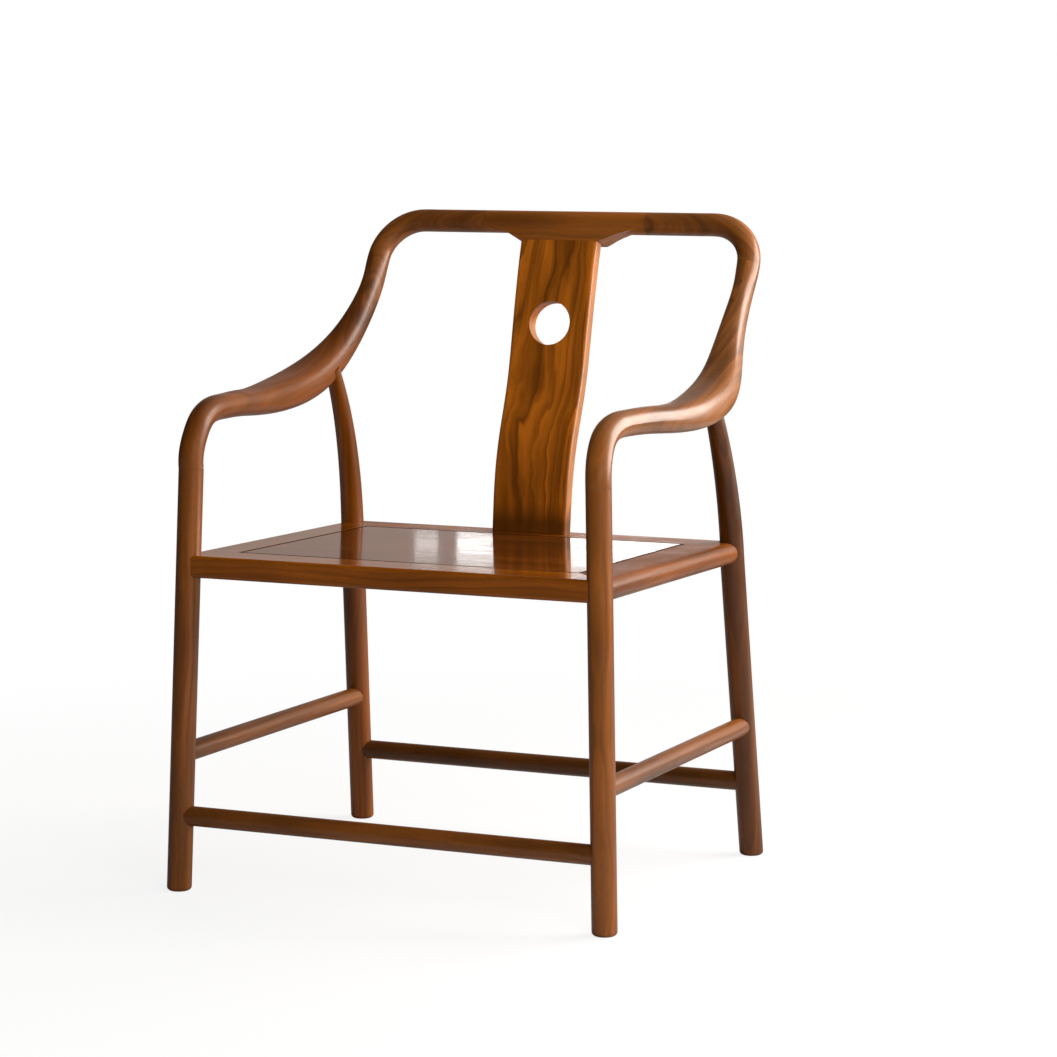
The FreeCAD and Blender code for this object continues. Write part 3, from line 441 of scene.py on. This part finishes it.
# Pieces in pairs
for word, side in (("right", 1), ("left", -1)):
    rise = flip(SCARF_RISE, side)
    scarf = flip(SCARF, side)
    elbow_seam = (flip(ELBOW, side), flip(LEG_DIRECTION, side), None, SEAM_STRENGTH["elbow"])
    lap_seam = (scarf, X, (scarf, rise, SCARF_HALF), SEAM_STRENGTH["scarf"])
    upper_seam = (scarf + rise * SCARF_HALF, rise, None, SEAM_STRENGTH["scarf"])
    lower_seam = (scarf - rise * SCARF_HALF, rise, None, SEAM_STRENGTH["scarf"])
    crest_seam = (X * side * CREST_SEAM, X, None, SEAM_STRENGTH["crest"])
    dress(f"front_leg_{word}", "front_leg", LEG, side, seams=[elbow_seam], **LEG_FIGURE)
    dress(f"rear_leg_{word}", "rear_leg", REAR_LEG[word], side, **REAR_LEG_FIGURE)
    dress(f"arm_{word}", "arm", ARM_TONE_AND_SHADE[word], side, seams=[elbow_seam, upper_seam, lap_seam],
          **ARM_FIGURE, **ARM_FINISH[word])
    dress(f"crest_corner_{word}", "crest_corner", CORNER[word], side,
          seams=[lower_seam, lap_seam, crest_seam], **CORNER_FIGURE)
    wedge, dowel = f"scarf_wedge_{word}", f"crest_dowel_{word}"
    cover(wedge, wood(wedge, WEDGE_GRAIN, scarf + WEDGE_PITH, 0.0, PEG))
    cover(dowel, wood(dowel, X, DOWEL_PITH, 0.0, PEG))
    dress(f"seat_rail_{word}", "seat_rail", SIDE_RAIL[word], side, groove="rail",
          **SIDE_RAIL_FINISH[word])
    dress(f"stretcher_{word}", "stretcher", STRETCHER, side)
    dress(f"seat_batten_{word}", "seat_batten", CREST, side)

# Pieces in the middle
dress("crest_centre", "crest_centre", CREST,
      seams=[(X * place, X, None, SEAM_STRENGTH["crest"]) for place in (CREST_SEAM, -CREST_SEAM)])
dress("back_splat", "back_splat", SPLAT, stain=FOOT_PAINTED_SHADE, pale_side=SPLAT_LIT_SIDE, **SPLAT_FIGURE,
      **SPLAT_FINISH)
dress("seat_panel", "seat_panel", SEAT, groove="panel", **SEAT_FIGURE, **SEAT_FINISH)
dress("seat_rail_front", "seat_rail_front", RAIL, groove="rail", **GLOSS)
dress("seat_rail_back", "seat_rail_back", RAIL, groove="rail", **BACK_RAIL_FINISH)
dress("stretcher_front", "stretcher_front", STRETCHER)
dress("stretcher_back", "stretcher_back", BACK_STRETCHER)


# Camera: where the photograph was taken from
YAW = math.radians(25.0)
PITCH = math.radians(7.2)
ROLL = math.radians(-0.17)
DISTANCE = 4.3072
AIM = Vector((0.0, -0.0279, 0.400))
AIM_RIGHT = 0.0705
AIM_UP = 0.0261
FOCAL_PIXELS = 3539.5
PICTURE_PIXELS = 1057
SENSOR = 36.0

forward = Vector((-math.sin(YAW) * math.cos(PITCH), math.cos(YAW) * math.cos(PITCH), -math.sin(PITCH)))
level_right = Vector((math.cos(YAW), math.sin(YAW), 0.0))
level_up = level_right.cross(forward)
right = level_right * math.cos(ROLL) + level_up * math.sin(ROLL)
up = level_up * math.cos(ROLL) - level_right * math.sin(ROLL)
camera_data = bpy.data.cameras.new("camera")
camera_data.sensor_width = SENSOR
camera_data.lens = FOCAL_PIXELS / PICTURE_PIXELS * SENSOR
camera_data.clip_end = 60.0
camera = bpy.data.objects.new("camera", camera_data)
scene.collection.objects.link(camera)
place = AIM - forward * DISTANCE + right * AIM_RIGHT + up * AIM_UP
turn = Matrix((right, up, -forward)).transposed().to_4x4()
camera.matrix_world = Matrix.Translation(place) @ turn
scene.camera = camera


# Floor and backdrop
FLOOR_SIZE = 24.0
FLOOR_PALE = (0.86, 0.86, 0.86)
# How much darker the floor is to all but the camera, so that it throws less light on the chair
FLOOR_BOUNCE = 0.5
# Distance from the chair's middle where the floor starts to fade, and where it is plain white
FLOOR_FADE = (0.40, 1.6)
# How white the floor already is under the chair, so that the shadow stays light
FLOOR_WHITE = 0.84
WHITE = (1.0, 1.0, 1.0, 1.0)
# Where the light in the gloss comes from: behind the chair, on the right and low
WINDOW_SIDE = Vector((0.70, 0.70, -0.40))
# Colours of that light from the dark side of the room to the window's side
ROOM = ((0.30, (0.045, 0.030, 0.022)), (0.68, (0.53, 0.425, 0.375)), (0.95, (0.86, 0.74, 0.63)))


def floor_material():
    """Pale floor that keeps a light shadow and fades to plain white away from the chair."""
    material = bpy.data.materials.new("studio_floor")
    s = Shader(material)
    seen = s.node("ShaderNodeLightPath").outputs["Is Camera Ray"]
    diffuse = s.node("ShaderNodeBsdfDiffuse")
    s.put(diffuse.inputs["Color"], s.mix(seen, shade(FLOOR_PALE, FLOOR_BOUNCE), FLOOR_PALE))
    far = s.remap(s.length(s.position), *FLOOR_FADE, FLOOR_WHITE, 1.0)
    white = s.glow("ShaderNodeEmission", WHITE)
    s.output("ShaderNodeOutputMaterial", s.choose(s.times(far, seen), diffuse.outputs[0], white))
    return material


def studio_world():
    """White backdrop to the eye; in the gloss, a room that is bright towards its window."""
    world = bpy.data.worlds.new("studio")
    s = Shader(world)
    seen = s.node("ShaderNodeLightPath").outputs["Is Camera Ray"]
    towards = s.remap(s.dot(s.places["Generated"], WINDOW_SIDE), -1.0, 1.0, 0.0, 1.0)
    room = s.glow("ShaderNodeBackground", s.ramp(towards, *ROOM))
    white = s.glow("ShaderNodeBackground", WHITE)
    s.output("ShaderNodeOutputWorld", s.choose(seen, room, white))
    return world


bpy.ops.mesh.primitive_plane_add(size=FLOOR_SIZE, location=(0, 0, 0))
floor = bpy.context.object
floor.name = "studio_floor"
floor.data.materials.append(floor_material())
scene.world = studio_world()


# Lamps
WARM = (1.0, 0.93, 0.86)
PLAIN = (1.0, 1.0, 1.0)
SEAT_MIDDLE = (0, 0, 0.45)
# Name, place, point aimed at, width and depth, watts, colour, and whether gloss mirrors it
LAMPS = (
    ("window", (1.40, 0.85, 1.1), (0.1, 0, 0.45), (1.3, 1.3), 52, WARM, True),
    ("top", (0.6, 0.2, 2.4), (0, 0, 0.4), (1.6, 1.6), 16, PLAIN, False),
    ("back_fill", (-1.6, 1.7, 1.2), SEAT_MIDDLE, (1.2, 1.2), 9, PLAIN, False),
    ("front_fill", (1.5, -1.6, 0.9), SEAT_MIDDLE, (1.0, 1.0), 31, PLAIN, False),
)
# Low and far behind the chair, for the white patches on the polished seat: place along X, height,
# width, depth and watts of each
GLARE = (
    (-1.575, 0.752, 0.050, 0.022, 0.012),
    (-1.455, 0.752, 0.080, 0.040, 0.045),
    (-1.060, 0.742, 0.330, 0.060, 0.25),
)
# How far behind the chair these lamps are, and where they face from there
GLARE_BEHIND = 3.0
GLARE_AIM = Vector((0.40, -0.9, -0.095))


def area_light(name, location, target, size, power, colour=PLAIN, mirrored=True):
    """A soft rectangular lamp that faces a point; mirrored says whether gloss shows it."""
    data = bpy.data.lights.new(name, "AREA")
    data.shape = "RECTANGLE"
    data.size, data.size_y = size
    data.energy = power
    data.color = colour
    lamp = bpy.data.objects.new(name, data)
    lamp.location = location
    aim = Vector(target) - Vector(location)
    lamp.rotation_euler = aim.to_track_quat("-Z", "Y").to_euler()
    lamp.visible_camera = False
    lamp.visible_glossy = mirrored
    scene.collection.objects.link(lamp)


for lamp in LAMPS:
    area_light(*lamp)
for index, (across, height, width, depth, power) in enumerate(GLARE, start=1):
    location = Vector((across, GLARE_BEHIND, height))
    area_light(f"glare_{index}", location, location + GLARE_AIM, (width, depth), power)

scene.view_settings.view_transform = "Standard"
